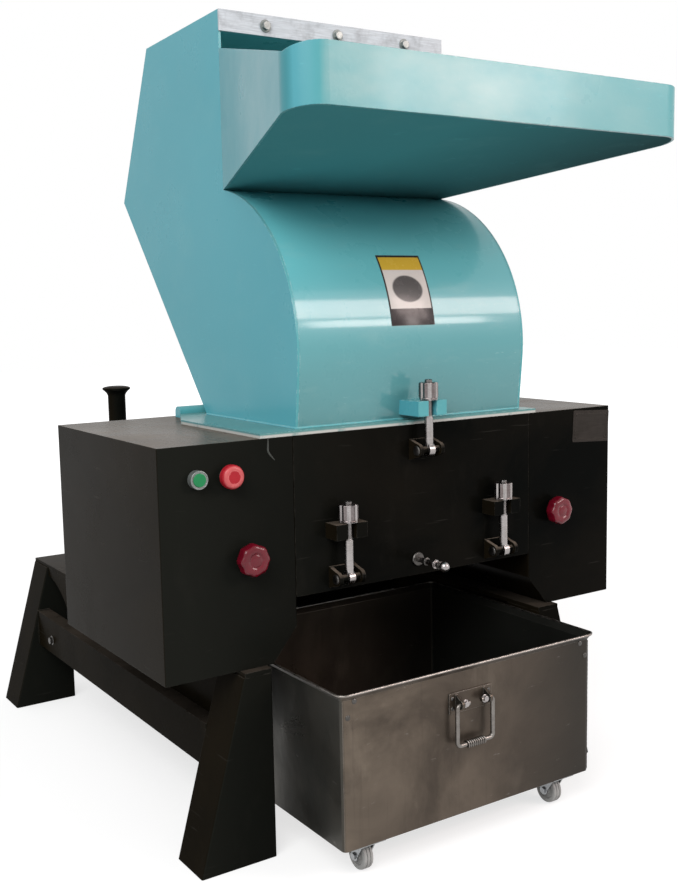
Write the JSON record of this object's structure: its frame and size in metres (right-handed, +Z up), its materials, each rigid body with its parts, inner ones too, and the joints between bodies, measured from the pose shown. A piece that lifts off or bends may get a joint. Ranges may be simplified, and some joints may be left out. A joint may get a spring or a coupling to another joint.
{
  "type": "plastic crusher",
  "caption": "Floor-standing plastic crusher with splayed legs, a tilting hopper with a flared feed tray, swing-bolt clamps, push buttons and a wheeled granulate bin that rolls out.",
  "frame": {"origin": "on the floor, at the centre of the overall box in plan", "axes": "+X towards the right side seen from the front, -Y towards the feed tray and the bin's handle, +Z up"},
  "size_m": [1.004, 1.298, 1.468],
  "materials": {
    "black_enamel": "gloss",
    "turquoise_enamel": "gloss",
    "bright_steel": "satin",
    "bin_steel": "raw, oiled",
    "zinc": "zinc plated",
    "grey_plastic": "satin",
    "red_plastic": "gloss",
    "green_plastic": "gloss"
  },
  "bodies": {
    "machine": {"left_front_leg": "black_enamel", "right_front_leg": "black_enamel", "left_rear_leg": "black_enamel", "right_rear_leg": "black_enamel", "top_side_rails": "black_enamel", "low_side_rails": "black_enamel", "cross_rails": "black_enamel", "deck": "black_enamel", "left_housing": "black_enamel", "right_housing": "black_enamel", "cutting_chamber": "black_enamel", "front_plate": "black_enamel", "rear_panel": "black_enamel", "hopper_left_side": "turquoise_enamel", "hopper_right_side": "turquoise_enamel", "hopper_front": "turquoise_enamel", "hopper_back": "turquoise_enamel", "hopper_flange": "turquoise_enamel", "mouth_strip": "bright_steel", "tray_band": "turquoise_enamel", "tray_floor": "turquoise_enamel", "hopper_lug": "turquoise_enamel", "cover_lugs": "black_enamel", "bolt_ears": "black_enamel", "pull_rod": "bright_steel", "control_bezels": "bright_steel", "hopper_hinge": "turquoise_enamel", "rest_posts": "black_enamel"},
    "top_bolt": {"top_swing_bolt": "bright_steel"},
    "left_bolt": {"left_swing_bolt": "bright_steel"},
    "right_bolt": {"right_swing_bolt": "bright_steel"},
    "start": {"start_button": "green_plastic"},
    "stop": {"stop_button": "red_plastic"},
    "left_hand_knob": {"left_knob": "red_plastic"},
    "right_hand_knob": {"right_knob": "red_plastic"},
    "bin": {"bin_shell": "bin_steel", "handle_ears": "bin_steel", "caster_plates": "zinc"},
    "handle": {"bin_handle": "black_enamel"},
    "left_front_swivel": {"left_front_fork": "zinc"},
    "left_front_roller": {"left_front_wheel": "grey_plastic"},
    "right_front_swivel": {"right_front_fork": "zinc"},
    "right_front_roller": {"right_front_wheel": "grey_plastic"},
    "left_rear_swivel": {"left_rear_fork": "zinc"},
    "left_rear_roller": {"left_rear_wheel": "grey_plastic"},
    "right_rear_swivel": {"right_rear_fork": "zinc"},
    "right_rear_roller": {"right_rear_wheel": "grey_plastic"}
  },
  "joints": [
    {"name": "top_bolt_swing", "type": "hinge", "parent": "machine", "child": "top_bolt", "pos_m": [0.016, -0.423, 0.675], "axis": [1, 0, 0], "range_deg": [0, 175]},
    {"name": "left_bolt_swing", "type": "hinge", "parent": "machine", "child": "left_bolt", "pos_m": [-0.161, -0.423, 0.467], "axis": [1, 0, 0], "range_deg": [0, 175]},
    {"name": "right_bolt_swing", "type": "hinge", "parent": "machine", "child": "right_bolt", "pos_m": [0.193, -0.423, 0.467], "axis": [1, 0, 0], "range_deg": [0, 175]},
    {"name": "start_press", "type": "slide", "parent": "machine", "child": "start", "axis": [0, 1, 0], "range_m": [0, 0.004], "stiffness_N_per_m": 400, "springref_m": -0.003},
    {"name": "stop_press", "type": "slide", "parent": "machine", "child": "stop", "axis": [0, 1, 0], "range_m": [0, 0.005], "stiffness_N_per_m": 600, "springref_m": -0.003},
    {"name": "left_knob_turn", "type": "hinge", "parent": "machine", "child": "left_hand_knob", "pos_m": [-0.347, -0.399, 0.524], "axis": [0, 1, 0], "continuous": true},
    {"name": "right_knob_turn", "type": "hinge", "parent": "machine", "child": "right_hand_knob", "pos_m": [0.343, -0.399, 0.524], "axis": [0, 1, 0], "continuous": true},
    {"name": "bin_slide", "type": "slide", "parent": "machine", "child": "bin", "axis": [0, 1, 0], "range_m": [-0.45, 0.15]},
    {"name": "handle_swing", "type": "hinge", "parent": "bin", "child": "handle", "pos_m": [-0.018, -0.588, 0.262], "axis": [1, 0, 0], "range_deg": [-165, 0]},
    {"name": "left_front_caster_swivel", "type": "hinge", "parent": "bin", "child": "left_front_swivel", "pos_m": [-0.221, -0.546, 0.05], "axis": [0, 0, 1], "continuous": true},
    {"name": "left_front_wheel_spin", "type": "hinge", "parent": "left_front_swivel", "child": "left_front_roller", "pos_m": [-0.221, -0.532, 0.025], "axis": [1, 0, 0], "continuous": true},
    {"name": "right_front_caster_swivel", "type": "hinge", "parent": "bin", "child": "right_front_swivel", "pos_m": [0.209, -0.546, 0.05], "axis": [0, 0, 1], "continuous": true},
    {"name": "right_front_wheel_spin", "type": "hinge", "parent": "right_front_swivel", "child": "right_front_roller", "pos_m": [0.209, -0.532, 0.025], "axis": [1, 0, 0], "continuous": true},
    {"name": "left_rear_caster_swivel", "type": "hinge", "parent": "bin", "child": "left_rear_swivel", "pos_m": [-0.221, -0.132, 0.05], "axis": [0, 0, 1], "continuous": true},
    {"name": "left_rear_wheel_spin", "type": "hinge", "parent": "left_rear_swivel", "child": "left_rear_roller", "pos_m": [-0.221, -0.118, 0.025], "axis": [1, 0, 0], "continuous": true},
    {"name": "right_rear_caster_swivel", "type": "hinge", "parent": "bin", "child": "right_rear_swivel", "pos_m": [0.209, -0.132, 0.05], "axis": [0, 0, 1], "continuous": true},
    {"name": "right_rear_wheel_spin", "type": "hinge", "parent": "right_rear_swivel", "child": "right_rear_roller", "pos_m": [0.209, -0.118, 0.025], "axis": [1, 0, 0], "continuous": true}
  ]
}
